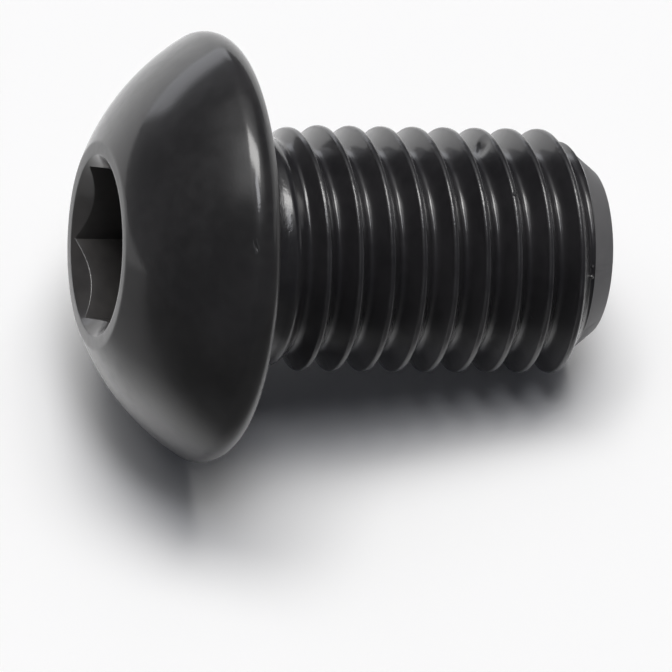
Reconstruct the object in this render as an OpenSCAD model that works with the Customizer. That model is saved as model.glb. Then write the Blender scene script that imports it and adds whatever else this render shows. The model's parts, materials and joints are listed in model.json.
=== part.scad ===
// Button head machine screw with a hexagon socket, 5/16-24 by half an inch.
// It is one cold-headed and thread-rolled piece: a domed head with a rounded
// rim, a short plain neck, a right-hand thread and a chamfered point.
//
// The modules draw the screw upright on its own axis: z = 0 is the bearing
// face, the head is below it and the shank rises to the point. lying() then
// puts it down as a loose screw rests, on the rim of its head and one of the
// last crests of its thread. The finished part has +Z up, +X towards the point
// and its origin on the surface, at the middle of the part's box.

/* [Head] */
// Largest diameter of the head
head_d = 13.7; // [12.6:0.05:14.6]
// Height of the head above the bearing face
head_h = 4.05; // [3.7:0.05:4.6]
// Diameter of the flat at the top of the dome
crown_d = 6.6; // [6.1:0.05:7.2]
// Radius that rounds the rim of the head
rim_r = 0.75; // [0.5:0.05:0.9]
// How far inside the rim the flat bearing face ends
seat_inset = 0.3; // [0.1:0.05:0.4]

/* [Socket] */
// Width across the flats of the hexagon socket
socket_af = 4.82; // [4.4:0.01:5]
// Depth of the socket's flats from the crown
socket_depth = 2.8; // [2.4:0.05:3]
// Depth of the drilled cone below the flats
socket_drill_h = 0.45; // [0.2:0.05:0.6]
// Diameter of the chamfer at the socket's mouth
socket_mouth_d = 5.76; // [5.72:0.01:6]
// Angle of one of the hexagon's corners from the screw's underside
socket_turn = 44; // [0:1:60]

/* [Thread] */
// Major diameter over the crests
thread_d = 7.85; // [7.7:0.01:7.94]
// Pitch, one turn of a 24 per inch thread
pitch = 1.0583; // [0.8:0.0001:1.3]
// Angle between the flanks
flank_angle = 60; // [55:1:65]
// Height of the crest nearest the bearing face, on the screw's upper side
crest_start = 0.205; // [0:0.005:1]

/* [Shank] */
// Length from the bearing face to the point
shank_l = 12.35; // [9:0.05:16]
// Diameter of the plain neck
neck_d = 7.24; // [7.1:0.01:7.4]
// Length of the plain neck
neck_l = 0.85; // [0.7:0.05:1.5]
// Radius of the fillet between the neck and the bearing face
neck_fillet_r = 0.35; // [0.2:0.05:0.45]
// Length over which the thread grows out of the neck
runout_l = 1.75; // [0.8:0.05:2.6]
// Diameter of the flat end
point_d = 5.44; // [4.8:0.02:6.2]
// Angle between the point's chamfer and the axis
point_angle = 45; // [35:1:55]

/* [Hidden] */
// Faces round each turn of the thread
turn_steps = 40;
// Faces round a turned surface, where it is drawn as a mesh
$fn = 96;
// Overlap that lets one solid join or cut the next
overlap = 0.5;

// Standard unified thread form, as shares of the pitch
crest_share = 1 / 8;
flank_depth_share = 0.54;
root_depth_share = 0.6134;

thread_r = thread_d / 2;
neck_r = neck_d / 2;
point_r = point_d / 2;
crown_r = crown_d / 2;

// One pitch of the thread's section, from the crest's middle: [along, radius]
crest_w = crest_share * pitch;
flank_h = flank_depth_share * pitch;
flank_end = crest_w / 2 + flank_h * tan(flank_angle / 2);
SECTION = [
    [-crest_w / 2, thread_r],
    [crest_w / 2, thread_r],
    [flank_end, thread_r - flank_h],
    [pitch / 2, thread_r - root_depth_share * pitch],
    [pitch - flank_end, thread_r - flank_h]
];

// The thread's blank starts inside the head and is a hair under the neck
blank_sink = 0.04;
blank_r = neck_r - blank_sink;
blank_start = -0.5;
// The neck ends in a taper that dives under the thread
neck_taper_l = 0.35;
neck_taper_h = 0.25;
// The chamfer at the point starts here
chamfer_start = shank_l - (thread_r - point_r) / tan(point_angle);

// The rim's rounding: how far the centre of its circle is from the axis and
// below the bearing face, which cuts the circle at seat_inset
rim_c = head_d / 2 - rim_r;
rim_up = sqrt(rim_r * rim_r - (rim_r - seat_inset) * (rim_r - seat_inset));
// The dome is an arc about the axis that passes the crown's edge and meets the
// rim's circle smoothly. Both conditions give a square equation in dome_c, the
// height of the arc's centre.
dome_a = 2 * (head_h - rim_up);
dome_b = head_h * head_h - rim_up * rim_up + crown_r * crown_r - rim_c * rim_c + rim_r * rim_r;
eq_2 = dome_a * dome_a - 4 * rim_r * rim_r;
eq_1 = 2 * dome_a * dome_b - 8 * rim_r * rim_r * head_h;
eq_0 = dome_b * dome_b - 4 * rim_r * rim_r * (head_h * head_h + crown_r * crown_r);
dome_c = (-eq_1 + sqrt(eq_1 * eq_1 - 4 * eq_2 * eq_0)) / (2 * eq_2);
dome_r = (dome_a * dome_c + dome_b) / (2 * rim_r);
// A point far out on the line from the dome's centre through the rim's centre
blend_out = 2 * head_d / (dome_r - rim_r);
BLEND = [rim_c * blend_out, dome_c - (rim_up + dome_c) * blend_out];

// The lower side's crests lie half a pitch from those of the upper side
low_crest = crest_start - pitch / 2;
// Two crests may carry the screw: the last that the chamfer leaves whole, at
// least in part, and the one after it, where the chamfer cuts it
whole_turns = floor((chamfer_start + crest_w / 2 - low_crest) / pitch);
TOUCHES = [
    for (turn = [whole_turns, whole_turns + 1])
        let (crest = low_crest + turn * pitch)
        max(crest - crest_w / 2, min(crest + crest_w / 2, chamfer_start))
];
// Radius of the crests at a height, and the tilt at which the rim and the
// thread there touch one plane. The screw rests at the smaller of the two tilts.
function crest_r(z) = thread_r - max(0, z - chamfer_start) * tan(point_angle);
function tilt_on(z) = atan2(rim_c - crest_r(z), z + rim_up)
    + asin(rim_r / norm([z + rim_up, rim_c - crest_r(z)]));
rest_tilt = min([for (z = TOUCHES) tilt_on(z)]);
// Height of the bearing face's centre when it lies, and the part's reach
rest_h = rim_c * cos(rest_tilt) - rim_up * sin(rest_tilt) + rim_r;
head_reach = head_h * cos(rest_tilt) + crown_r * sin(rest_tilt);
point_reach = shank_l * cos(rest_tilt) + point_r * sin(rest_tilt);

// The section of the head, right of its axis
module head_section() {
    intersection() {
        translate([0, dome_c]) circle(r = dome_r);
        translate([0, -head_h]) square([head_d, head_h]);
        polygon([[0, overlap], [rim_c, overlap], [rim_c, -rim_up], BLEND, [0, BLEND[1]]]);
    }
    intersection() {
        translate([rim_c, -rim_up]) circle(r = rim_r);
        translate([0, -head_h]) square([head_d, head_h]);
        polygon([[rim_c, overlap], [BLEND[0], overlap], BLEND, [rim_c, -rim_up]]);
    }
}

// The neck: a fillet, a plain stretch and a taper that ends under the thread
module neck_section() {
    difference() {
        translate([0, -overlap])
            square([neck_r + neck_fillet_r, overlap + neck_fillet_r]);
        translate([neck_r + neck_fillet_r, neck_fillet_r]) circle(r = neck_fillet_r);
    }
    polygon([
        [0, -overlap], [neck_r, -overlap], [neck_r, neck_l],
        [neck_r - neck_taper_h, neck_l + neck_taper_l], [0, neck_l + neck_taper_l]
    ]);
}

// The hexagon socket with its 45 degree mouth and drilled bottom
module socket() {
    hex_r = socket_af / 2 / cos(30);
    mouth_wide = socket_mouth_d / 2 + overlap;
    mouth_narrow = socket_af / 2 - overlap;
    rotate([0, 0, socket_turn]) translate([0, 0, -head_h - overlap])
        cylinder(r = hex_r, h = socket_depth + overlap, $fn = 6);
    translate([0, 0, -head_h + socket_depth])
        cylinder(r1 = socket_af / 2, r2 = 0, h = socket_drill_h);
    translate([0, 0, -head_h - overlap])
        cylinder(r1 = mouth_wide, r2 = mouth_narrow, h = mouth_wide - mouth_narrow);
}

// How far the thread has grown at height z, from 0 on the neck to 1
function growth(z) = min(1, max(0, (z - neck_l) / runout_l));

// A point of the thread's surface: row counts the section's corners up the
// shank, and step counts round the turn
function thread_point(row, step) =
    let (
        corner = SECTION[row % len(SECTION)],
        turn = floor(row / len(SECTION)) + step / turn_steps,
        z = thread_low + turn * pitch + corner[0],
        r = blank_r + (corner[1] - blank_r) * growth(z),
        angle = 360 * step / turn_steps
    )
    [r * cos(angle), r * sin(angle), z];

// The first crest of the blank, and the rows that reach past the point
thread_low = low_crest + pitch * floor((blank_start - low_crest) / pitch);
thread_rows = len(SECTION) * ceil((shank_l + overlap - thread_low) / pitch);

// The rolled thread as one closed surface. Each turn's end meets the start of
// the turn above it, so the crest runs on as one right-hand helix.
module thread_body() {
    corners = len(SECTION);
    points = [
        for (row = [0 : thread_rows + corners], step = [0 : turn_steps - 1]) thread_point(row, step)
    ];
    low_tip = len(points);
    high_tip = low_tip + 1;
    // Number of a point: after the last step comes the next turn's first
    function at(row, step) = step < turn_steps
        ? row * turn_steps + step
        : (row + corners) * turn_steps + step - turn_steps;
    side = [
        for (row = [0 : thread_rows - 1], step = [0 : turn_steps - 1])
            each [
                [at(row, step), at(row + 1, step), at(row + 1, step + 1)],
                [at(row, step), at(row + 1, step + 1), at(row, step + 1)]
            ]
    ];
    low_cap = concat(
        [for (step = [0 : turn_steps - 1]) [low_tip, at(0, step), at(0, step + 1)]],
        [for (row = [0 : corners - 1]) [low_tip, at(row + 1, 0), at(row, 0)]]
    );
    high_cap = concat(
        [for (step = [0 : turn_steps - 1])
            [high_tip, at(thread_rows, step + 1), at(thread_rows, step)]],
        [for (row = [0 : corners - 1])
            [high_tip, at(thread_rows + row, 0), at(thread_rows + row + 1, 0)]]
    );
    middle = pitch / 2;
    polyhedron(
        points = concat(points, [
            [0, 0, thread_low + middle],
            [0, 0, points[thread_rows * turn_steps][2] + middle]
        ]),
        faces = concat(side, low_cap, high_cap),
        convexity = 10
    );
}

// The space inside the shank's flat end and its chamfer
module point_space() {
    wide = thread_r + overlap;
    cone_l = (wide - point_r) / tan(point_angle);
    translate([0, 0, shank_l - cone_l]) cylinder(r1 = wide, r2 = point_r, h = cone_l);
    translate([0, 0, -head_h]) cylinder(r = wide, h = head_h + shank_l - cone_l);
}

// Lays the upright screw down on its rim and its thread
module lying() {
    translate([(head_reach - point_reach) / 2, 0, rest_h])
        rotate([0, 90 + rest_tilt, 0])
            children();
}

module screw() {
    color([0.12, 0.12, 0.13]) lying() difference() {
        union() {
            rotate_extrude() {
                head_section();
                neck_section();
            }
            intersection() {
                thread_body();
                point_space();
            }
        }
        socket();
    }
}

screw();
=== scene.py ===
"""Looks of a loose button head screw in black oxide steel, lying on a pale surface.

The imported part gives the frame. One closed mesh stands for its only node: a head
and neck turned row by row, and a blank on which Geometry Nodes roll the thread
and cut the point. Everything is in metres, and the object sits at the origin.
"""
import json
import logging
import math
from dataclasses import dataclass, field
from enum import Enum
from typing import Any

import bmesh
import bpy
import numpy as np
from mathutils import Euler, Matrix, Vector


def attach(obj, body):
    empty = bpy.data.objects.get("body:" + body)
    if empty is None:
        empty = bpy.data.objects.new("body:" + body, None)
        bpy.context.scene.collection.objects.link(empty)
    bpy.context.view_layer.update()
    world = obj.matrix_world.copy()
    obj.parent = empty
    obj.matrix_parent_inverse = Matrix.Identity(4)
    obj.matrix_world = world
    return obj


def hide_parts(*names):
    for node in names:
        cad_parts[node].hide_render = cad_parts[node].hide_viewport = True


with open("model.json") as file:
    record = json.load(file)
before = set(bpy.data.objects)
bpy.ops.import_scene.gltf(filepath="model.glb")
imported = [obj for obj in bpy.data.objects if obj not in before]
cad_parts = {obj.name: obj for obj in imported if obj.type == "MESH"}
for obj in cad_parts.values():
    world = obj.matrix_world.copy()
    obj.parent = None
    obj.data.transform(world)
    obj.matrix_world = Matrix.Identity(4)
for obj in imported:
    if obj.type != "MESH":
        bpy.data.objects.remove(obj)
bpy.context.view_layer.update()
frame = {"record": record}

MM = 0.001
log = logging.getLogger("screw")


class Finish(Enum):
    """The finishes of the screw's surfaces, in the order of its material slots."""

    HEAD = "head_oxide"
    SOCKET = "socket_oxide"
    THREAD = "thread_oxide"
    POINT = "point_oxide"


class Wiring:
    """Adds nodes to one tree and joins their sockets."""

    def __init__(self, tree: bpy.types.NodeTree) -> None:
        """Starts on a tree.

        Args:
            tree: The node tree of a material, a group or a modifier.
        """
        self.tree = tree

    @classmethod
    def fresh(cls, owner: Any) -> "Wiring":
        """Starts on the emptied node tree of a material or a world.

        Args:
            owner: The material or the world.

        Returns:
            The wiring of its tree.
        """
        owner.use_nodes = True
        owner.node_tree.nodes.clear()
        return cls(owner.node_tree)

    def feed(self, socket: bpy.types.NodeSocket, value: Any) -> None:
        """Links another node's socket to this one, or sets its own value.

        Args:
            socket: The input to fill.
            value: An output socket or a plain value.
        """
        if isinstance(value, bpy.types.NodeSocket):
            self.tree.links.new(value, socket)
        else:
            socket.default_value = value

    def add(self, kind: str, feeds: dict[Any, Any] | None = None, **settings: Any) -> bpy.types.Node:
        """Adds a node.

        Args:
            kind: The node's type name.
            feeds: What goes into its inputs, by name or number.
            settings: The node's own properties.

        Returns:
            The new node.
        """
        node = self.tree.nodes.new(kind)
        for name, value in settings.items():
            setattr(node, name, value)
        for key, value in (feeds or {}).items():
            self.feed(node.inputs[key], value)
        return node

    def math(self, operation: str, *values: Any) -> bpy.types.NodeSocket:
        """Adds a Math node and returns its result."""
        return self.add("ShaderNodeMath", dict(enumerate(values)), operation=operation).outputs[0]

    def vector_math(self, operation: str, *values: Any) -> bpy.types.NodeSocket:
        """Adds a Vector Math node and returns its vector."""
        return self.add("ShaderNodeVectorMath", dict(enumerate(values)), operation=operation).outputs[0]

    def dot(self, first: Any, second: Any) -> bpy.types.NodeSocket:
        """Adds a dot product and returns its value."""
        node = self.add("ShaderNodeVectorMath", {0: first, 1: second}, operation="DOT_PRODUCT")
        return node.outputs["Value"]

    def noise(self, place: Any, scale: Any, detail: float, roughness: float = 0.5) -> bpy.types.NodeSocket:
        """Adds a noise texture and returns its value."""
        feeds = {"Vector": place, "Scale": scale, "Detail": detail, "Roughness": roughness}
        return self.add("ShaderNodeTexNoise", feeds).outputs[0]

    def group(self, tree: bpy.types.NodeTree, feeds: dict[str, Any]) -> bpy.types.NodeSocket:
        """Places a shader node group and returns its first output."""
        return self.add("ShaderNodeGroup", feeds, node_tree=tree).outputs[0]

    def ramp(
        self, value: Any, low: float, high: float, to_low: float, to_high: float
    ) -> bpy.types.NodeSocket:
        """Maps a value smoothly from one range to another.

        Args:
            value: The value to map.
            low: Where the source range starts.
            high: Where it ends.
            to_low: The result at and below low.
            to_high: The result at and above high.

        Returns:
            The mapped value.
        """
        feeds = {"Value": value, "From Min": low, "From Max": high, "To Min": to_low, "To Max": to_high}
        return self.add("ShaderNodeMapRange", feeds, interpolation_type="SMOOTHSTEP").outputs["Result"]

    def blend(self, share: Any, first: Any, second: Any) -> bpy.types.NodeSocket:
        """Mixes two colours by a share and returns the colour."""
        return self.add("ShaderNodeMix", {0: share, 6: first, 7: second}, data_type="RGBA").outputs[2]


@dataclass(frozen=True)
class ScrewAxis:
    """Where the screw lies: the centre of its bearing face, and the way to its point."""

    seat: Vector
    along: Vector

    @classmethod
    def from_record(cls, record: dict[str, Any]) -> "ScrewAxis":
        """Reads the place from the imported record's bearing face, beside the shank.

        Args:
            record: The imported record.

        Returns:
            The screw's place in the shared frame.
        """
        face = next(mount for mount in record["mounts"] if mount["name"] == "bearing_face")
        across, _, height = face["pos_m"]
        return cls(Vector((across, 0.0, height)), Vector(face["axis"]).normalized())

    @property
    def tilt(self) -> float:
        """The turn about Y that lays the upright screw down, in radians."""
        return math.atan2(self.along.x, self.along.z)

    def matrix(self) -> Matrix:
        """The matrix that takes the upright screw to where it lies."""
        return Matrix.Translation(self.seat) @ Matrix.Rotation(self.tilt, 4, "Y")


Row = np.ndarray


def unit(ways: Row) -> Row:
    """The same directions, each with a length of 1."""
    return ways / np.linalg.norm(ways, axis=1, keepdims=True)


@dataclass(frozen=True)
class Columns:
    """The columns of points round the screw that all its rows share.

    Angles go round the screw's axis, from its underside to the side away from the camera.
    """

    count: int = 192
    corner: float = math.radians(44.0)

    @property
    def angles(self) -> np.ndarray:
        """The angle of each column, with one of them on the socket's corner."""
        step = 2 * math.pi / self.count
        return self.corner % step + np.arange(self.count) * step

    def row(self, radius: Any, height: Any) -> Row:
        """One row as pairs of radius and height, either given once or for each column."""
        return np.stack(np.broadcast_arrays(radius, height, np.zeros(self.count))[:2], axis=1)

    def arc(
        self, centre: tuple[float, float], radius: float, start: float, stop: float, steps: int
    ) -> list[Row]:
        """Rows along an arc of the section.

        Args:
            centre: Radius and height of the arc's centre.
            radius: The arc's radius.
            start: Its first angle, in degrees from straight outwards to up the shank.
            stop: Its last angle.
            steps: How many steps it has.

        Returns:
            The rows, both ends among them.
        """
        turns = np.radians(np.linspace(start, stop, steps + 1))
        return [
            self.row(centre[0] + radius * math.cos(turn), centre[1] + radius * math.sin(turn))
            for turn in turns
        ]

    def line(self, first: Row, last: Row, steps: int) -> list[Row]:
        """Rows between two rows, without the first and the last."""
        return [first + (last - first) * (step / steps) for step in range(1, steps)]

    def rounded(self, before: Row, corner: Row, after: Row, radius: float, steps: int) -> list[Row]:
        """Rows that round a corner of the section.

        Args:
            before: A row on the straight stretch before the corner.
            corner: The corner.
            after: A row on the straight stretch after it.
            radius: The radius of the rounding.
            steps: How many steps it has.

        Returns:
            The rows of the rounding, from its first tangent point to its last.
        """
        back, forth = unit(before - corner), unit(after - corner)
        half_open = np.arccos(np.clip((back * forth).sum(1, keepdims=True), -1, 1)) / 2
        middle = unit(back + forth)
        centre = corner + middle * (radius / np.sin(half_open))
        swing = math.pi / 2 - half_open
        side = unit(back - middle * (back * middle).sum(1, keepdims=True))
        return [
            centre + radius * (-middle * np.cos(swing * turn) + side * np.sin(swing * turn))
            for turn in np.linspace(1, -1, steps + 1)
        ]


@dataclass(frozen=True)
class Socket:
    """The hexagon socket, with a chamfered mouth and a drilled bottom."""

    across_flats: float = 4.82 * MM
    depth: float = 2.8 * MM
    drill_height: float = 0.45 * MM
    drill_share: float = 0.97
    mouth_diameter: float = 5.76 * MM
    edge_radius: float = 0.06 * MM
    wall_steps: int = 10
    bottom_steps: int = 6
    corner_steps: int = 4
    mouth_steps: int = 3

    def wall_radius(self, columns: Columns) -> np.ndarray:
        """Finds how far the hexagon's wall is from the axis.

        Args:
            columns: The shared columns.

        Returns:
            The distance at each column.
        """
        sixth = math.pi / 3
        past_corner = np.round((columns.angles - columns.corner) % sixth, decimals=9) % sixth
        return self.across_flats / 2 / np.cos(past_corner - sixth / 2)

    def rows(self, columns: Columns, crown: float) -> list[Row]:
        """The socket's rows, from its bottom to its mouth.

        Args:
            columns: The shared columns.
            crown: Height of the crown, into which the socket goes.

        Returns:
            The rows, without the bottom's middle and the mouth's rounding.
        """
        floor = crown + self.depth
        drill = self.across_flats / 2 * self.drill_share
        wall = self.wall_radius(columns)
        bottom = columns.row(drill, floor)
        low = columns.row(wall, floor)
        edge = columns.row(wall, crown + self.mouth_diameter / 2 - wall)
        mouth = columns.row(self.mouth_diameter / 2, crown)
        tip = columns.row(0.0, floor + self.drill_height)
        corner = columns.rounded(low, edge, mouth, self.edge_radius, self.corner_steps)
        return [
            *columns.line(tip, bottom, self.bottom_steps),
            bottom,
            low,
            *columns.line(low, corner[0], self.wall_steps),
            *corner,
            *columns.line(corner[-1], mouth, self.mouth_steps),
        ]


@dataclass(frozen=True)
class Head:
    """The domed head, from its crown over the rounded rim to the bearing face."""

    socket: Socket = Socket()
    diameter: float = 13.7 * MM
    height: float = 4.05 * MM
    crown_diameter: float = 6.6 * MM
    rim_radius: float = 0.75 * MM
    seat_inset: float = 0.3 * MM
    mouth_edge_radius: float = 0.05 * MM
    crown_edge_radius: float = 0.25 * MM
    crown_steps: int = 3
    edge_steps: int = 3
    dome_steps: int = 40
    rim_steps: int = 22
    seat_steps: int = 8

    @property
    def rim_centre(self) -> tuple[float, float]:
        """Radius and height of the centre of the rim's rounding."""
        across = self.rim_radius - self.seat_inset
        return self.diameter / 2 - self.rim_radius, -math.sqrt(self.rim_radius**2 - across**2)

    @property
    def dome(self) -> tuple[float, float]:
        """The dome's arc about the axis.

        It passes the crown's edge and meets the rim's rounding smoothly. Both conditions
        give a square equation.

        Returns:
            The height of the arc's centre, and its radius.
        """
        across, rim_height = self.rim_centre
        drop = -rim_height
        crown = self.crown_diameter / 2
        reach = 2 * (self.height - drop)
        rest = self.height**2 - drop**2 + crown**2 - across**2 + self.rim_radius**2
        square = reach**2 - 4 * self.rim_radius**2
        linear = 2 * reach * rest - 8 * self.rim_radius**2 * self.height
        plain = rest**2 - 4 * self.rim_radius**2 * (self.height**2 + crown**2)
        centre = (-linear + math.sqrt(linear**2 - 4 * square * plain)) / (2 * square)
        return centre, (reach * centre + rest) / (2 * self.rim_radius)

    def rows(self, columns: Columns, neck_radius: float) -> list[Row]:
        """The head's rows, from the socket's bottom to the bearing face.

        Args:
            columns: The shared columns.
            neck_radius: Where the bearing face ends.

        Returns:
            The rows in order.
        """
        rim_radius, rim_height = self.rim_centre
        dome_height, dome_radius = self.dome
        blend = math.degrees(math.atan2(rim_height - dome_height, rim_radius))
        crown = self.crown_diameter / 2
        start = math.degrees(math.atan2(-self.height - dome_height, crown))
        dome = columns.arc((0.0, dome_height), dome_radius, start, blend, self.dome_steps)
        socket = self.socket.rows(columns, -self.height)
        mouth = columns.row(self.socket.mouth_diameter / 2, -self.height)
        crown_edge = columns.row(crown, -self.height)
        mouth_round = columns.rounded(
            socket[-1], mouth, crown_edge, self.mouth_edge_radius, self.edge_steps
        )
        crown_round = columns.rounded(
            mouth, crown_edge, dome[1], self.crown_edge_radius, self.edge_steps
        )
        rim_end = math.degrees(math.atan2(-rim_height, self.rim_radius - self.seat_inset))
        rim = columns.arc(self.rim_centre, self.rim_radius, blend, rim_end, self.rim_steps)
        seat_edge = rim[-1]
        seat_end = columns.row(neck_radius, 0.0)
        return [
            *socket,
            *mouth_round,
            *columns.line(mouth_round[-1], crown_round[0], self.crown_steps),
            *crown_round,
            *dome[1:],
            *rim[1:],
            *columns.line(seat_edge, seat_end, self.seat_steps),
        ]


@dataclass(frozen=True)
class Thread:
    """The rolled right-hand thread, its plain neck and its run-out."""

    major_radius: float = 3.925 * MM
    pitch: float = 1.0583 * MM
    crest_share: float = 1 / 8
    root_share: float = 0.6134
    crest_start: float = 0.205 * MM
    crest_rounding: float = 0.09 * MM
    root_rounding: float = 0.22 * MM
    neck_radius: float = 3.62 * MM
    neck_fillet: float = 0.35 * MM
    neck_end: float = 0.4 * MM
    run_out_start: float = 0.85 * MM
    run_out_length: float = 1.97 * MM
    fan_rows: int = 24
    fillet_steps: int = 6
    soft_rows: int = 5
    flank_rows: int = 3

    @property
    def first_crest(self) -> float:
        """Height of a crest on the underside, half a pitch below that of the upper side."""
        return self.crest_start - self.pitch / 2

    def section(self) -> np.ndarray:
        """Finds where rows help the thread's shape.

        Returns:
            Places along one pitch, from a crest to the next.
        """
        crest = self.crest_share * self.pitch / 2
        soft_crest = self.crest_rounding / math.sqrt(3)
        root = crest + self.root_share * self.pitch / math.sqrt(3)
        soft_root = self.root_rounding / math.sqrt(3)
        half = np.concatenate(
            [
                [0.0],
                np.linspace(crest - soft_crest, crest + soft_crest, self.soft_rows),
                np.linspace(crest + soft_crest, root - soft_root, self.flank_rows)[1:],
                np.linspace(root - soft_root, self.pitch / 2, self.soft_rows)[1:],
            ]
        )
        return np.concatenate([half[:-1], self.pitch - half[:0:-1]])

    def neck_rows(self, columns: Columns) -> list[Row]:
        """The fillet under the head and the neck's last plain row.

        Args:
            columns: The shared columns.

        Returns:
            The rows in order.
        """
        centre = (self.neck_radius + self.neck_fillet, self.neck_fillet)
        return [
            *columns.arc(centre, self.neck_fillet, -90.0, -180.0, self.fillet_steps),
            columns.row(self.neck_radius, self.neck_end),
        ]

    def helix_rows(self, columns: Columns, end: float) -> tuple[list[Row], int]:
        """Rows of the blank that run round as the thread does.

        Args:
            columns: The shared columns.
            end: Height that the last row passes all round.

        Returns:
            The rows, and how many make one turn.
        """
        section = self.section()
        skip = math.ceil((self.neck_end - self.first_crest) / self.pitch)
        start = self.first_crest + skip * self.pitch
        turns = math.ceil((end - start) / self.pitch) + 1
        climb = columns.angles / (2 * math.pi) * self.pitch
        heights = [start + turn * self.pitch + place for turn in range(turns) for place in section]
        return [columns.row(self.neck_radius, height + climb) for height in heights], len(section)


@dataclass(frozen=True)
class Point:
    """The chamfered point.

    Its cone starts steep behind the last crest, where rolling left off, and is flatter
    down to the end. From cone_start on the surface has the point's finish: rougher and
    less oiled than the rest, and paler, which is painted reflection. The solid that the
    point is cut with reaches far past the head, to keep all of it.
    """

    length: float = 12.35 * MM
    end_radius: float = 2.68 * MM
    edge_radius: float = 0.06 * MM
    knee_radius: float = 3.35 * MM
    knee_height: float = 11.49 * MM
    knee_rounding: float = 0.3 * MM
    cone_start: float = 11.66 * MM
    steepness: float = 63.0
    reach: float = 45.0 * MM
    cap_steps: int = 3
    corner_steps: int = 4
    end_steps: int = 4

    def rows(self, columns: Columns) -> list[Row]:
        """The space inside the end and its chamfer.

        Args:
            columns: The shared columns.

        Returns:
            The rows from low to high.
        """
        rise = (self.reach - self.knee_radius) / math.tan(math.radians(self.steepness))
        far = columns.row(self.reach, self.knee_height - rise)
        knee = columns.row(self.knee_radius, self.knee_height)
        edge = columns.row(self.end_radius, self.length)
        middle = columns.row(0.0, self.length)
        low_middle = columns.row(0.0, far[0, 1])
        return [
            *columns.line(low_middle, far, self.cap_steps),
            far,
            *columns.rounded(far, knee, edge, self.knee_rounding, self.corner_steps),
            *columns.rounded(knee, edge, middle, self.edge_radius, self.corner_steps),
            *columns.line(edge, middle, self.end_steps)[1:],
        ]


def into_scene(name: str, data: Any) -> bpy.types.Object:
    """Makes an object and puts it in the scene.

    Args:
        name: The object's name.
        data: Its mesh or camera.

    Returns:
        The new object.
    """
    made = bpy.data.objects.new(name, data)
    bpy.context.scene.collection.objects.link(made)
    return made


@dataclass
class MeshParts:
    """Points and faces of a mesh while its rows are joined."""

    columns: Columns
    points: list[np.ndarray] = field(default_factory=list)
    faces: list[tuple[int, ...]] = field(default_factory=list)
    total: int = 0

    def put(self, row: Row) -> int:
        """Adds one row of points.

        Args:
            row: Radius and height for each column.

        Returns:
            The number of its first point.
        """
        angles = self.columns.angles
        flat = (row[:, 0] * np.cos(angles), row[:, 0] * np.sin(angles), row[:, 1])
        self.points.append(np.stack(flat, axis=1))
        self.total += len(row)
        return self.total - len(row)

    def put_point(self, height: float) -> int:
        """Adds one point on the axis.

        Args:
            height: The point's height.

        Returns:
            Its number.
        """
        self.points.append(np.array([[0.0, 0.0, height]]))
        self.total += 1
        return self.total - 1

    def join(self, low: int, high: int, closed: bool = True) -> None:
        """Joins two rows with a band of faces.

        Args:
            low: Number of the first point of the row that comes first.
            high: Number of the first point of the row that follows.
            closed: Whether the band also joins the last column to the first.
        """
        count = self.columns.count
        for column in range(count if closed else count - 1):
            after = (column + 1) % count
            self.faces.append((low + column, low + after, high + after, high + column))

    def join_all(self, numbers: list[int], closed: bool = True) -> None:
        """Joins each row of a list with the next."""
        for low, high in zip(numbers, numbers[1:]):
            self.join(low, high, closed)

    def cap(self, tip: int, row: int, first: bool) -> None:
        """Closes a row with a fan to a point on the axis.

        Args:
            tip: Number of the point on the axis.
            row: Number of the row's first point.
            first: Whether the point comes before the row.
        """
        count = self.columns.count
        for column in range(count):
            after = (column + 1) % count
            near, far = row + column, row + after
            self.faces.append((tip, far, near) if first else (tip, near, far))

    def zip_up(self, left: list[int], right: list[int], heights: np.ndarray) -> None:
        """Joins two chains of points that climb side by side.

        Args:
            left: The points of the chain that comes first round the screw.
            right: The points of the other chain.
            heights: Height of every point of the mesh.
        """
        at_left = at_right = 0
        while at_left < len(left) - 1 or at_right < len(right) - 1:
            more_left = at_left < len(left) - 1
            more_right = at_right < len(right) - 1
            up_left = more_left and (
                not more_right or heights[left[at_left + 1]] <= heights[right[at_right + 1]]
            )
            if up_left:
                self.faces.append((left[at_left], right[at_right], left[at_left + 1]))
                at_left += 1
            else:
                self.faces.append((left[at_left], right[at_right], right[at_right + 1]))
                at_right += 1

    def build(self, name: str, rolled_from: int | None = None) -> bpy.types.Object:
        """Makes the object.

        Args:
            name: The object's name.
            rolled_from: Number of the first point that the thread may move.

        Returns:
            The new object, in the scene.
        """
        points = np.concatenate(self.points)
        mesh = bpy.data.meshes.new(name)
        mesh.from_pydata(points.tolist(), [], self.faces)
        if rolled_from is not None:
            rolled = mesh.attributes.new("rolled", "BOOLEAN", "POINT")
            off_axis = np.hypot(points[:, 0], points[:, 1]) > 0
            rolled.data.foreach_set("value", (np.arange(self.total) >= rolled_from) & off_axis)
        return into_scene(name, mesh)


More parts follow.
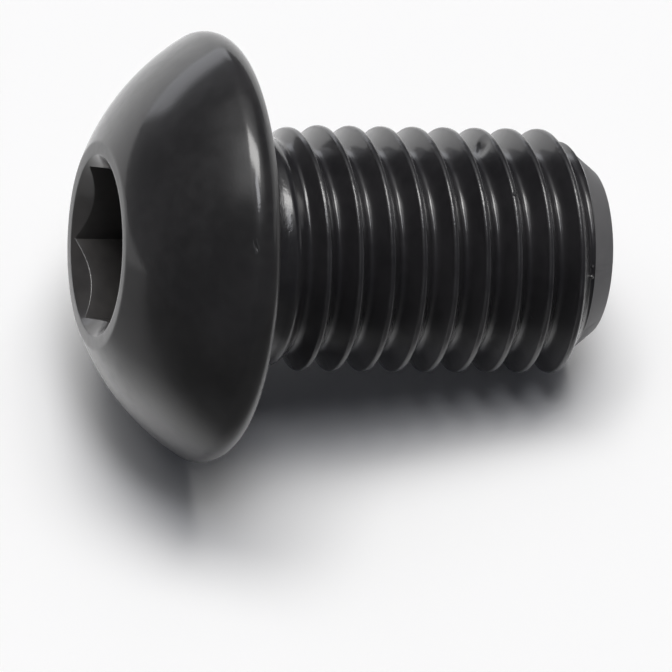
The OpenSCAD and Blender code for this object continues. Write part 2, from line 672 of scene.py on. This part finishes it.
class ThreadRolling:
    """The Geometry Nodes that roll the thread, cut the point and give the finishes.

    The shank's finish starts at SEAT_SHARE of the pitch off the bearing face.
    """

    SEAT_SHARE = 0.02

    def __init__(self, sizes: dict[str, float]) -> None:
        """Builds the tree.

        Args:
            sizes: The sizes that it takes in, by the names of their sockets.
        """
        self.tree = bpy.data.node_groups.new("thread_rolling", "GeometryNodeTree")
        sockets = self.tree.interface
        sockets.new_socket("Geometry", in_out="INPUT", socket_type="NodeSocketGeometry")
        for name in sizes:
            sockets.new_socket(name, in_out="INPUT", socket_type="NodeSocketFloat")
        sockets.new_socket("Point Space", in_out="INPUT", socket_type="NodeSocketObject")
        for finish in Finish:
            sockets.new_socket(finish.value, in_out="INPUT", socket_type="NodeSocketMaterial")
        sockets.new_socket("Geometry", in_out="OUTPUT", socket_type="NodeSocketGeometry")
        self.wiring = Wiring(self.tree)
        self.given = self.wiring.add("NodeGroupInput").outputs
        place = self.wiring.add("GeometryNodeInputPosition").outputs[0]
        self.across, self.aside, self.height = self.wiring.add("ShaderNodeSeparateXYZ", {0: place}).outputs
        shaped = self.cut(self.roll(self.given["Geometry"]))
        self.wiring.add("NodeGroupOutput", {0: self.dress(shaped)})

    def from_axis(self) -> bpy.types.NodeSocket:
        """How far each point is from the screw's axis."""
        squares = [self.wiring.math("MULTIPLY", side, side) for side in (self.across, self.aside)]
        return self.wiring.math("SQRT", self.wiring.math("ADD", *squares))

    def thread_depth(self) -> bpy.types.NodeSocket:
        """Finds how deep the thread's surface is under its crests.

        Returns:
            The depth at each point.
        """
        math_node = self.wiring.math
        turn = math_node("DIVIDE", math_node("ARCTAN2", self.aside, self.across), 2 * math.pi)
        climbed = math_node("MULTIPLY", turn, self.given["Pitch"])
        above_first = math_node("SUBTRACT", self.height, self.given["First Crest"])
        above = math_node("SUBTRACT", above_first, climbed)
        from_crest = math_node("PINGPONG", above, math_node("MULTIPLY", self.given["Pitch"], 0.5))
        half_flat = math_node("MULTIPLY", self.given["Crest Width"], 0.5)
        past_flat = math_node("SUBTRACT", from_crest, half_flat)
        flank = math_node("MULTIPLY", past_flat, math.sqrt(3))
        below = math_node("SMOOTH_MAX", flank, 0.0, self.given["Crest Rounding"])
        return math_node("SMOOTH_MIN", below, self.given["Root Depth"], self.given["Root Rounding"])

    def roll(self, geometry: bpy.types.NodeSocket) -> bpy.types.NodeSocket:
        """Moves the blank's points to the thread's surface.

        Args:
            geometry: The screw with a plain blank.

        Returns:
            The screw with its thread.
        """
        math_node = self.wiring.math
        past_start = math_node("SUBTRACT", self.height, self.given["Run-out Start"])
        share = math_node("DIVIDE", past_start, self.given["Run-out Length"])
        grown = self.wiring.ramp(share, 0.0, 1.0, 0.0, 1.0)
        full = math_node("SUBTRACT", self.given["Major Radius"], self.thread_depth())
        gain = math_node("MULTIPLY", math_node("SUBTRACT", full, self.given["Neck Radius"]), grown)
        radius = math_node("ADD", self.given["Neck Radius"], gain)
        out = math_node("DIVIDE", radius, self.from_axis())
        moved = self.wiring.add("ShaderNodeCombineXYZ", {
            0: math_node("MULTIPLY", self.across, out),
            1: math_node("MULTIPLY", self.aside, out),
            2: self.height,
        }).outputs[0]
        rolled = self.wiring.add("GeometryNodeInputNamedAttribute", {"Name": "rolled"}, data_type="BOOLEAN")
        feeds = {"Geometry": geometry, "Selection": rolled.outputs[0], "Position": moved}
        return self.wiring.add("GeometryNodeSetPosition", feeds).outputs[0]

    def cut(self, geometry: bpy.types.NodeSocket) -> bpy.types.NodeSocket:
        """Keeps what lies inside the point's space.

        Args:
            geometry: The screw with its thread.

        Returns:
            The screw with its point.
        """
        space = self.wiring.add("GeometryNodeObjectInfo", {"Object": self.given["Point Space"]})
        node = self.wiring.add("GeometryNodeMeshBoolean", operation="INTERSECT", solver="EXACT")
        self.wiring.feed(node.inputs["Mesh 2"], geometry)
        self.wiring.feed(node.inputs["Mesh 2"], space.outputs["Geometry"])
        return node.outputs["Mesh"]

    def dress(self, geometry: bpy.types.NodeSocket) -> bpy.types.NodeSocket:
        """Gives each zone of the surface its finish.

        Args:
            geometry: The finished shape.

        Returns:
            The shape as one real mesh with its materials.
        """
        math_node = self.wiring.math
        near_axis = math_node("LESS_THAN", self.from_axis(), self.given["Mouth Radius"])
        in_socket = math_node("MULTIPLY", near_axis, math_node("LESS_THAN", self.height, 0.0))
        shank_start = math_node("MULTIPLY", self.given["Pitch"], self.SEAT_SHARE)
        on_shank = math_node("GREATER_THAN", self.height, shank_start)
        on_point = math_node("GREATER_THAN", self.height, self.given["Cone Start"])
        zones = {
            Finish.HEAD: None,
            Finish.SOCKET: in_socket,
            Finish.THREAD: on_shank,
            Finish.POINT: on_point,
        }
        shown = self.wiring.add("GeometryNodeRealizeInstances", {0: geometry}).outputs[0]
        for finish, zone in zones.items():
            feeds = {"Geometry": shown, "Material": self.given[finish.value]}
            if zone is not None:
                feeds["Selection"] = zone
            shown = self.wiring.add("GeometryNodeSetMaterial", feeds).outputs[0]
        return shown

    def apply(self, piece: bpy.types.Object, values: dict[str, Any]) -> bpy.types.Mesh:
        """Runs the tree on a piece.

        Args:
            piece: The screw with a plain blank.
            values: The tree's inputs by name.

        Returns:
            The result as a plain mesh.
        """
        modifier = piece.modifiers.new("thread_rolling", "NODES")
        modifier.node_group = self.tree
        for item in self.tree.interface.items_tree:
            if item.in_out == "INPUT" and item.name in values:
                modifier[item.identifier] = values[item.name]
        graph = bpy.context.evaluated_depsgraph_get()
        mesh = bpy.data.meshes.new_from_object(piece.evaluated_get(graph), depsgraph=graph)
        piece.modifiers.remove(modifier)
        return mesh


class SharedEffects:
    """The shader node groups that more than one finish uses."""

    ORIGIN = (0.0, 0.0, 0.0)
    BROAD_SHARE = 0.7

    def __init__(self) -> None:
        """Builds each group once."""
        self.mottle = self.build_mottle()
        self.grain = self.build_grain()
        self.wear = self.build_wear()

    def group(self, name: str, inputs: dict[str, Any], outputs: tuple[str, ...]) -> Wiring:
        """Starts a group.

        Args:
            name: The group's name.
            inputs: Its inputs with their defaults, a tuple for a vector.
            outputs: Its outputs.

        Returns:
            The wiring of the new group.
        """
        tree = bpy.data.node_groups.new(name, "ShaderNodeTree")
        for label, value in inputs.items():
            kind = "NodeSocketVector" if isinstance(value, tuple) else "NodeSocketFloat"
            socket = tree.interface.new_socket(label, in_out="INPUT", socket_type=kind)
            socket.default_value = value
        for label in outputs:
            tree.interface.new_socket(label, in_out="OUTPUT", socket_type="NodeSocketFloat")
        return Wiring(tree)

    def build_mottle(self) -> bpy.types.NodeTree:
        """Soft patches of lighter and darker oxide.

        Returns:
            The group's tree.
        """
        sizes = {"Place": self.ORIGIN, "Patches": 300.0, "Specks": 2500.0}
        wiring = self.group("oxide_mottle", sizes, ("Shade",))
        given = wiring.add("NodeGroupInput").outputs
        broad = wiring.noise(given["Place"], given["Patches"], detail=3.0)
        fine = wiring.noise(given["Place"], given["Specks"], detail=2.0)
        mixed = wiring.math("ADD", wiring.math("MULTIPLY", broad, self.BROAD_SHARE),
                            wiring.math("MULTIPLY", fine, 1 - self.BROAD_SHARE))
        shade = wiring.ramp(mixed, low=0.3, high=0.7, to_low=0.0, to_high=1.0)
        wiring.add("NodeGroupOutput", {"Shade": shade})
        return wiring.tree

    def build_grain(self) -> bpy.types.NodeTree:
        """Fine height that makes the oxide satin, drawn out along the tool's way.

        Returns:
            The group's tree.
        """
        wiring = self.group("satin_grain", {"Place": self.ORIGIN, "Size": (1.0, 1.0, 1.0)}, ("Height",))
        given = wiring.add("NodeGroupInput").outputs
        drawn = wiring.vector_math("MULTIPLY", given["Place"], given["Size"])
        wiring.add("NodeGroupOutput", {"Height": wiring.noise(drawn, 1.0, detail=4.0, roughness=0.6)})
        return wiring.tree

    def build_wear(self) -> bpy.types.NodeTree:
        """Broken wear along convex edges, from the mesh's edge_wear attribute.

        Returns:
            The group's tree.
        """
        sizes = {"Place": self.ORIGIN, "Edge": 0.0, "Amount": 0.5, "Breaks": 1500.0}
        wiring = self.group("edge_wear", sizes, ("Mask",))
        given = wiring.add("NodeGroupInput").outputs
        breaks = wiring.noise(given["Place"], given["Breaks"], detail=3.0)
        broken = wiring.ramp(breaks, low=0.35, high=0.65, to_low=0.2, to_high=1.0)
        amount = wiring.math("MULTIPLY", given["Edge"], given["Amount"])
        wiring.add("NodeGroupOutput", {"Mask": wiring.math("MULTIPLY", amount, broken)})
        return wiring.tree


@dataclass(frozen=True)
class OxideFinish:
    """Black oxide on steel: a dark satin film, lighter where edges have worn, under thin oil.

    Pairs are the values of the darkest and the palest patches. The skin's fade says how
    soft its limits are, across the axis and along it.
    """

    name: str
    colour: tuple[float, float, float]
    pale: tuple[float, float, float]
    worn: tuple[float, float, float] = (0.05, 0.05, 0.052)
    roughness: tuple[float, float] = (0.32, 0.42)
    refraction: float = 1.4
    wear: float = 0.6
    grain_size: tuple[float, float, float] = (9000.0, 9000.0, 9000.0)
    grain_depth: float = 0.0015 * MM
    patches: float = 300.0
    oil: float = 0.8
    oil_roughness: float = 0.08
    oil_refraction: float = 1.45
    skin_size: tuple[float, float, float] = (6000.0, 6000.0, 10000.0)
    skin_depth: float = 0.0
    skin_radius: float = 3.88 * MM
    skin_end: float = 1.2 * MM
    skin_fade: tuple[float, float] = (0.04 * MM, 0.2 * MM)

    def build(self, axis: ScrewAxis, effects: SharedEffects) -> bpy.types.Material:
        """Makes the material.

        Args:
            axis: Where the screw lies, so that patterns follow its axis.
            effects: The shared node groups.

        Returns:
            The new material.
        """
        material = bpy.data.materials.new(self.name)
        wiring = Wiring.fresh(material)
        place = wiring.add("ShaderNodeMapping", {
            "Vector": wiring.add("ShaderNodeTexCoord").outputs["Object"],
            "Location": axis.seat, "Rotation": Euler((0.0, axis.tilt, 0.0)),
        }, vector_type="TEXTURE").outputs[0]
        edge = wiring.add("ShaderNodeAttribute", attribute_name="edge_wear").outputs["Fac"]
        shade = wiring.group(effects.mottle, {"Place": place, "Patches": self.patches})
        wear = wiring.group(effects.wear, {"Place": place, "Edge": edge, "Amount": self.wear})
        oxide = wiring.blend(shade, (*self.colour, 1.0), (*self.pale, 1.0))
        colour = wiring.blend(wear, oxide, (*self.worn, 1.0))
        roughness = wiring.ramp(shade, 0.0, 1.0, *self.roughness)
        grain = wiring.group(effects.grain, {"Place": place, "Size": self.grain_size})
        skin_grain = wiring.group(effects.grain, {"Place": place, "Size": self.skin_size})
        rough_skin = wiring.math("MULTIPLY", self.skin(wiring, place), skin_grain)
        height = wiring.math("ADD", wiring.math("MULTIPLY", grain, self.grain_depth),
                             wiring.math("MULTIPLY", rough_skin, self.skin_depth))
        bump = wiring.add("ShaderNodeBump", {"Height": height, "Strength": 1.0, "Distance": 1.0})
        shader = wiring.add("ShaderNodeBsdfPrincipled", {
            "Base Color": colour, "Roughness": roughness, "IOR": self.refraction, "Normal": bump.outputs[0],
            "Coat Weight": self.oil, "Coat Roughness": self.oil_roughness, "Coat IOR": self.oil_refraction,
            "Coat Normal": bump.outputs[0],
        })
        wiring.add("ShaderNodeOutputMaterial", {"Surface": shader.outputs[0]})
        return material

    def skin(self, wiring: Wiring, place: bpy.types.NodeSocket) -> bpy.types.NodeSocket:
        """The drawn skin of the wire that rolling leaves on the crests and the neck.

        Args:
            wiring: The material's tree.
            place: The point, on the upright screw.

        Returns:
            1 on the skin and 0 off it.
        """
        across, aside, height = wiring.add("ShaderNodeSeparateXYZ", {0: place}).outputs
        outwards = wiring.add("ShaderNodeCombineXYZ", {0: across, 1: aside}).outputs[0]
        from_axis = wiring.add("ShaderNodeVectorMath", {0: outwards}, operation="LENGTH").outputs["Value"]
        crest_fade, neck_fade = self.skin_fade
        crest = wiring.ramp(from_axis, self.skin_radius - crest_fade, self.skin_radius, 0.0, 1.0)
        neck = wiring.ramp(height, self.skin_end, self.skin_end + neck_fade, 1.0, 0.0)
        return wiring.math("MAXIMUM", crest, neck)


@dataclass(frozen=True)
class HandlingMark:
    """A small dent or burr, as loose screws get when they are tumbled together.

    Its place is an angle round the screw's axis, from its underside, and a height on it.
    Its depth is negative where it stands out. The surface is searched and divided round
    it as far as those shares of its size say.
    """

    angle: float
    height: float
    round_way: float
    axis_way: float
    depth: float
    skew: float = 0.0
    cuts: int = 5
    searched: float = 2.0
    divided: float = 1.6
    outer_radius: float = 3.1 * MM

    def share_out(self, place: Vector, radius: float) -> float:
        """How far a point is from the mark's middle, where 1 is its edge.

        Args:
            place: The point, on the upright screw.
            radius: The screw's radius at the mark.

        Returns:
            The share of the way to the mark's edge.
        """
        turn = math.atan2(place.y, place.x) - math.radians(self.angle)
        aside = math.remainder(turn, 2 * math.pi) * radius
        up = place.z - self.height
        slant = math.radians(self.skew)
        first = (aside * math.cos(slant) + up * math.sin(slant)) / self.round_way
        second = (up * math.cos(slant) - aside * math.sin(slant)) / self.axis_way
        return math.hypot(first, second)

    def vertices_near(self, shape: bmesh.types.BMesh) -> list[bmesh.types.BMVert]:
        """Finds the outer surface's vertices at about the mark's height.

        Args:
            shape: The upright screw's mesh.

        Returns:
            The vertices all round the screw.
        """
        reach = self.searched * max(self.round_way, self.axis_way)
        return [
            vertex for vertex in shape.verts
            if abs(vertex.co.z - self.height) < reach and vertex.co.xy.length > self.outer_radius
        ]

    def press(self, shape: bmesh.types.BMesh) -> None:
        """Divides the surface round the mark and moves it in or out.

        Args:
            shape: The upright screw's mesh.
        """
        near = self.vertices_near(shape)
        radius = max(vertex.co.xy.length for vertex in near)
        divided = {vertex for vertex in near if self.share_out(vertex.co, radius) < self.divided}
        edges = [edge for edge in shape.edges if not divided.isdisjoint(edge.verts)]
        bmesh.ops.subdivide_edges(shape, edges=edges, cuts=self.cuts, use_grid_fill=True)
        for vertex in self.vertices_near(shape):
            share = self.share_out(vertex.co, radius)
            if share < 1:
                vertex.co.xy -= vertex.co.xy.normalized() * (self.depth * (1 - share * share) ** 2)


@dataclass
class MachineScrew:
    """The whole screw as one closed piece."""

    axis: ScrewAxis
    head: Head = Head()
    thread: Thread = Thread()
    point: Point = Point()
    columns: Columns = Columns()
    sharp_angle: float = math.radians(30.0)
    marks: tuple[HandlingMark, ...] = (
        HandlingMark(152.5, 8.34 * MM, 0.6 * MM, 0.2 * MM, 0.115 * MM),
        HandlingMark(-167.3, 8.71 * MM, 0.07 * MM, 0.07 * MM, -0.04 * MM),
        HandlingMark(-131.8, 11.45 * MM, 0.07 * MM, 0.06 * MM, -0.07 * MM),
        HandlingMark(-126.1, 11.46 * MM, 0.10 * MM, 0.08 * MM, -0.09 * MM),
        HandlingMark(-130.0, 10.22 * MM, 0.06 * MM, 0.05 * MM, -0.04 * MM),
        HandlingMark(-102.7, 9.61 * MM, 0.06 * MM, 0.05 * MM, -0.04 * MM),
        HandlingMark(-119.9, -1.52 * MM, 0.06 * MM, 0.05 * MM, -0.03 * MM),
        HandlingMark(-140.7, -0.88 * MM, 0.24 * MM, 0.06 * MM, 0.03 * MM, skew=18.0),
    )

    def blank(self) -> bpy.types.Object:
        """Joins the head, the neck and the plain blank, closed at both ends.

        Returns:
            The upright screw before its thread is rolled.
        """
        parts = MeshParts(self.columns)
        thread = self.thread
        rows = self.head.rows(self.columns, thread.neck_radius + thread.neck_fillet)
        rows += thread.neck_rows(self.columns)
        bottom = parts.put_point(-self.head.height + self.head.socket.depth + self.head.socket.drill_height)
        numbers = [parts.put(row) for row in rows]
        parts.cap(bottom, numbers[0], first=True)
        parts.join_all(numbers)
        helix, per_turn = thread.helix_rows(self.columns, self.point.length + thread.pitch)
        fan = self.columns.line(rows[-1], helix[0], thread.fan_rows)
        fan_numbers = [numbers[-1]] + [parts.put(row) for row in fan]
        helix_numbers = [parts.put(row) for row in helix]
        climbing = fan_numbers + helix_numbers[:-per_turn]
        parts.join_all(climbing, closed=False)
        last = self.columns.count - 1
        heights = np.concatenate(parts.points)[:, 2]
        left = [number + last for number in climbing]
        right = fan_numbers + helix_numbers
        parts.zip_up(left, right, heights)
        tip = parts.put_point(helix[-1][0, 1])
        top = climbing[-1]
        for column in range(last):
            parts.faces.append((tip, top + column, top + column + 1))
        parts.faces.append((tip, top + last, helix_numbers[-1]))
        upright = helix_numbers[len(helix_numbers) - per_turn - 1:]
        for low, high in zip(upright, upright[1:]):
            parts.faces.append((tip, high, low))
        return parts.build("machine_screw", rolled_from=numbers[-1])

    def point_space(self) -> bpy.types.Object:
        """Makes the closed solid that the point is cut with.

        Returns:
            The solid, upright.
        """
        parts = MeshParts(self.columns)
        rows = self.point.rows(self.columns)
        numbers = [parts.put(row) for row in rows]
        parts.cap(parts.put_point(rows[0][0, 1]), numbers[0], first=True)
        parts.join_all(numbers)
        parts.cap(parts.put_point(rows[-1][0, 1]), numbers[-1], first=False)
        return parts.build("point_space")

    def rolling_sizes(self) -> dict[str, float]:
        """The sizes that the rolling takes in, by the names of their sockets."""
        thread = self.thread
        return {
            "Major Radius": thread.major_radius,
            "Neck Radius": thread.neck_radius,
            "Pitch": thread.pitch,
            "Crest Width": thread.crest_share * thread.pitch,
            "Root Depth": thread.root_share * thread.pitch,
            "First Crest": thread.first_crest,
            "Crest Rounding": thread.crest_rounding,
            "Root Rounding": thread.root_rounding,
            "Run-out Start": thread.run_out_start,
            "Run-out Length": thread.run_out_length,
            "Mouth Radius": self.head.socket.mouth_diameter / 2,
            "Cone Start": self.point.cone_start,
        }

    def build(self, finishes: dict[Finish, bpy.types.Material]) -> bpy.types.Object:
        """Makes the screw and hangs it in the frame.

        Args:
            finishes: The material of each finish.

        Returns:
            The finished piece.
        """
        piece = self.blank()
        space = self.point_space()
        sizes = self.rolling_sizes()
        materials = {finish.value: material for finish, material in finishes.items()}
        mesh = ThreadRolling(sizes).apply(piece, {**sizes, "Point Space": space, **materials})
        bpy.data.objects.remove(space)
        piece.data = mesh
        self.press_marks(mesh)
        mark_edges(mesh)
        mesh.transform(self.axis.matrix())
        mesh.shade_smooth()
        mesh.set_sharp_from_angle(angle=self.sharp_angle)
        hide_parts("screw")
        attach(piece, "root")
        return piece

    def press_marks(self, mesh: bpy.types.Mesh) -> None:
        """Presses the handling marks into the upright screw.

        Args:
            mesh: The screw's mesh.
        """
        shape = bmesh.new()
        shape.from_mesh(mesh)
        for mark in self.marks:
            mark.press(shape)
        shape.to_mesh(mesh)
        shape.free()


def read_items(items: Any, name: str, kind: type = float, width: int = 1) -> np.ndarray:
    """Reads one property of all of a mesh's vertices, edges, faces or corners.

    Args:
        items: The mesh's collection.
        name: The property's name.
        kind: The type of its numbers.
        width: How many numbers each item has.

    Returns:
        The numbers, in one row for each item where it has several.
    """
    values = np.empty(len(items) * width, kind)
    items.foreach_get(name, values)
    return values.reshape(-1, width) if width > 1 else values


def mark_edges(
    mesh: bpy.types.Mesh, soft: float = 2.0 / MM, sharp: float = 14.0 / MM, least_gap: float = 0.01 * MM
) -> None:
    """Stores how convex the surface is at each point, as the attribute edge_wear.

    Args:
        mesh: The mesh to mark, closed.
        soft: Curvature at which wear starts.
        sharp: Curvature at which it is full.
        least_gap: The least distance that counts between the centres of two faces.
    """
    points = read_items(mesh.vertices, "co", width=3)
    centres = read_items(mesh.polygons, "center", width=3)
    normals = read_items(mesh.polygons, "normal", width=3)
    sizes = read_items(mesh.polygons, "loop_total", int)
    loop_faces = np.repeat(np.arange(len(sizes)), sizes)
    order = np.argsort(read_items(mesh.loops, "edge_index", int), kind="stable")
    pairs = loop_faces[order].reshape(-1, 2)
    ends = read_items(mesh.edges, "vertices", int, width=2)
    along = points[ends[:, 1]] - points[ends[:, 0]]
    length = np.linalg.norm(along, axis=1)
    along = along / np.maximum(length, 1e-12)[:, None]
    across = centres[pairs[:, 1]] - centres[pairs[:, 0]]
    across = across - along * (across * along).sum(1, keepdims=True)
    apart = np.maximum(np.linalg.norm(across, axis=1), least_gap)
    turn = np.linalg.norm(normals[pairs[:, 1]] - normals[pairs[:, 0]], axis=1)
    convex = (across * normals[pairs[:, 0]]).sum(1) < 0
    bend = np.where(convex, turn / apart, 0.0)
    worn = np.zeros(len(points))
    for end in (0, 1):
        np.maximum.at(worn, ends[:, end], bend)
    share = np.clip((worn - soft) / (sharp - soft), 0, 1)
    attribute = mesh.attributes.new("edge_wear", "FLOAT", "POINT")
    attribute.data.foreach_set("value", share.astype(np.float32))


def report(piece: bpy.types.Object) -> None:
    """Logs a piece's triangle count and whether it is closed.

    Args:
        piece: The finished piece.
    """
    mesh = piece.data
    mesh.calc_loop_triangles()
    faces_at = np.bincount(read_items(mesh.loops, "edge_index", int), minlength=len(mesh.edges))
    open_edges = int((faces_at != 2).sum())
    log.info("%s: %d triangles, %d open edges", piece.name, len(mesh.loop_triangles), open_edges)


@dataclass(frozen=True)
class Window:
    """A bright rectangle with soft edges in the dark surround, as a softbox or a lit wall shows.

    Its sizes are tangents of the angles from its middle.
    """

    azimuth: float
    elevation: float
    half_width: float
    half_height: float
    edge: float
    radiance: float
    colour: tuple[float, float, float] = (1.0, 1.0, 1.0)

    def light(self, wiring: Wiring, way: bpy.types.NodeSocket) -> bpy.types.NodeSocket:
        """Adds what the window sends out.

        Args:
            wiring: The world's tree.
            way: The direction that is looked at.

        Returns:
            The window's light, black outside it.
        """
        back, right, up = facing_axes(self.azimuth, self.elevation)
        ahead = wiring.dot(way, back)
        share = wiring.math("GREATER_THAN", ahead, 0.0)
        for side, half in ((right, self.half_width), (up, self.half_height)):
            aside = wiring.math("ABSOLUTE", wiring.math("DIVIDE", wiring.dot(way, side), ahead))
            inside = wiring.ramp(aside, half - self.edge, half + self.edge, 1.0, 0.0)
            share = wiring.math("MULTIPLY", share, inside)
        full = Vector(self.colour) * self.radiance
        return wiring.add("ShaderNodeVectorMath", {0: full, "Scale": share}, operation="SCALE").outputs[0]


def direction(azimuth: float, elevation: float) -> Vector:
    """The way towards an azimuth and elevation in degrees, where azimuth 0 is -Y and 90 is +X."""
    turn, rise = math.radians(azimuth), math.radians(elevation)
    return Vector((math.sin(turn) * math.cos(rise), -math.cos(turn) * math.cos(rise), math.sin(rise)))


def facing_axes(azimuth: float, elevation: float) -> tuple[Vector, Vector, Vector]:
    """Finds the axes of a picture that is taken from an azimuth and elevation.

    Args:
        azimuth: Degrees round the screw, as direction takes them.
        elevation: Degrees above the floor.

    Returns:
        The way towards the viewer, the picture's right and its up.
    """
    back = direction(azimuth, elevation)
    right = Vector((0.0, 0.0, 1.0)).cross(back).normalized()
    return back, right, back.cross(right)


@dataclass(frozen=True)
class PhotoView:
    """The camera: where it stands, and where the bearing face's centre shows from it."""

    azimuth: float = -10.787
    elevation: float = 52.422
    focal_pixels: float = 9009.0
    image_pixels: float = 672.0
    sensor: float = 36.0
    seat_right: float = -3.7243 * MM
    seat_up: float = 2.8248 * MM
    seat_away: float = 286.09 * MM
    clip: tuple[float, float] = (0.01, 10.0)

    def build(self, seat: Vector) -> None:
        """Makes the scene's camera.

        Args:
            seat: The centre of the bearing face.
        """
        back, right, up = facing_axes(self.azimuth, self.elevation)
        camera = bpy.data.cameras.new("camera")
        camera.sensor_width = self.sensor
        camera.lens = self.focal_pixels * self.sensor / self.image_pixels
        camera.clip_start, camera.clip_end = self.clip
        camera_object = into_scene("camera", camera)
        offset = right * self.seat_right + up * self.seat_up - back * self.seat_away
        turned = Matrix((right, up, back)).transposed().to_4x4()
        camera_object.matrix_world = Matrix.Translation(seat - offset) @ turned
        bpy.context.scene.camera = camera_object


@dataclass(frozen=True)
class Studio:
    """Floor, surround and camera.

    The fades are the distances from the origin between which painted shade darkens the
    floor or leaves it again, as the screw's gloss shows it.
    """

    view: PhotoView = PhotoView()
    floor_size: float = 20.0
    floor_colour: tuple[float, float, float] = (0.97, 0.97, 0.97)
    front_shade_fade: tuple[float, float] = (4.4 * MM, 10.5 * MM)
    front_shade_left: float = 0.1
    side_shade_fade: tuple[float, float] = (10.0 * MM, 18.0 * MM)
    side_shade_left: float = 0.4
    shade_back_lift: tuple[float, float] = (2.0 * MM, 18.0 * MM)
    surround: tuple[float, float, float] = (0.035, 0.037, 0.045)
    windows: tuple[Window, ...] = (
        Window(155.0, 78.5, 0.32, 0.17, 0.08, 10.4, (1.0, 0.99, 0.975)),
        Window(20.0, 80.0, 0.11, 0.16, 0.05, 6.8, (0.97, 0.98, 1.03)),
        Window(178.0, 58.0, 0.6, 0.3, 0.15, 0.4),
        Window(250.0, 68.0, 0.25, 0.2, 0.12, 1.2),
        Window(95.0, 66.0, 0.25, 0.2, 0.12, 0.6),
        Window(193.0, 4.0, 0.4, 0.15, 0.06, 1.6, (0.97, 0.98, 1.03)),
        Window(100.0, 5.0, 0.4, 0.15, 0.1, 0.6),
    )

    def build(self, axis: ScrewAxis) -> None:
        """Makes everything round the screw.

        Args:
            axis: Where the screw lies.
        """
        self.build_floor()
        self.build_surround()
        self.view.build(axis.seat)
        bpy.context.scene.view_settings.view_transform = "Standard"

    def build_floor(self) -> None:
        """Lays a pale surface under the screw.

        Shade is painted into its colour for the screw's gloss only: reflected, it shows
        darker in front and at the sides, outside the picture, and pale behind.
        """
        half = self.floor_size / 2
        mesh = bpy.data.meshes.new("floor")
        corners = [(-half, -half, 0), (half, -half, 0), (half, half, 0), (-half, half, 0)]
        mesh.from_pydata(corners, [], [(0, 1, 2, 3)])
        material = bpy.data.materials.new("pale_surface_painted_shade")
        wiring = Wiring.fresh(material)
        place = wiring.add("ShaderNodeTexCoord").outputs["Object"]
        across, away, _ = wiring.add("ShaderNodeSeparateXYZ", {0: place}).outputs
        # Painted shade: the floor's colour darkens in front and at the sides, for glossy rays only.
        before = wiring.ramp(away, -self.front_shade_fade[1], -self.front_shade_fade[0], self.front_shade_left, 1.0)
        aside = wiring.ramp(wiring.math("ABSOLUTE", across), *self.side_shade_fade, 1.0, self.side_shade_left)
        beside = wiring.math("MAXIMUM", aside, wiring.ramp(away, *self.shade_back_lift, 0.0, 1.0))
        painted_shade = wiring.math("MULTIPLY", before, beside)
        gloss = wiring.add("ShaderNodeLightPath").outputs["Is Glossy Ray"]
        lit = wiring.add("ShaderNodeMix", {0: gloss, 2: 1.0, 3: painted_shade}).outputs[0]
        colour = wiring.blend(lit, (0.0, 0.0, 0.0, 1.0), (*self.floor_colour, 1.0))
        shader = wiring.add("ShaderNodeBsdfDiffuse", {"Color": colour})
        wiring.add("ShaderNodeOutputMaterial", {"Surface": shader.outputs[0]})
        mesh.materials.append(material)
        floor = into_scene("floor", mesh)

    def build_surround(self) -> None:
        """Makes the dark surround with its windows."""
        world = bpy.data.worlds.new("surround")
        wiring = Wiring.fresh(world)
        way = wiring.add("ShaderNodeTexCoord").outputs["Generated"]
        light = Vector(self.surround)
        for window in self.windows:
            light = wiring.vector_math("ADD", light, window.light(wiring, way))
        background = wiring.add("ShaderNodeBackground", {"Color": light, "Strength": 1.0})
        wiring.add("ShaderNodeOutputWorld", {"Surface": background.outputs[0]})
        bpy.context.scene.world = world


def main() -> None:
    """Builds the screw and its studio."""
    logging.basicConfig(level=logging.INFO, format="%(name)s: %(message)s")
    axis = ScrewAxis.from_record(frame["record"])
    Studio().build(axis)
    effects = SharedEffects()
    finishes = {
        Finish.HEAD: OxideFinish(Finish.HEAD.value, (0.017, 0.0165, 0.017), (0.026, 0.025, 0.026)),
        Finish.SOCKET: OxideFinish(
            Finish.SOCKET.value, (0.036, 0.034, 0.034), (0.055, 0.052, 0.05),
            grain_size=(9000.0, 9000.0, 900.0),
        ),
        Finish.THREAD: OxideFinish(
            Finish.THREAD.value, (0.0145, 0.014, 0.0155), (0.023, 0.022, 0.024),
            grain_size=(2000.0, 2000.0, 20000.0), skin_depth=0.012 * MM, oil=1.0, oil_roughness=0.11,
        ),
        # The point's pale colour is painted reflection; its rougher, thinly oiled gloss is its own.
        Finish.POINT: OxideFinish(
            Finish.POINT.value, (0.085, 0.084, 0.087), (0.115, 0.113, 0.117),
            roughness=(0.5, 0.6), oil=0.15, oil_roughness=0.3,
        ),
    }
    materials = {finish: kind.build(axis, effects) for finish, kind in finishes.items()}
    report(MachineScrew(axis).build(materials))


if __name__ == "__main__":
    main()
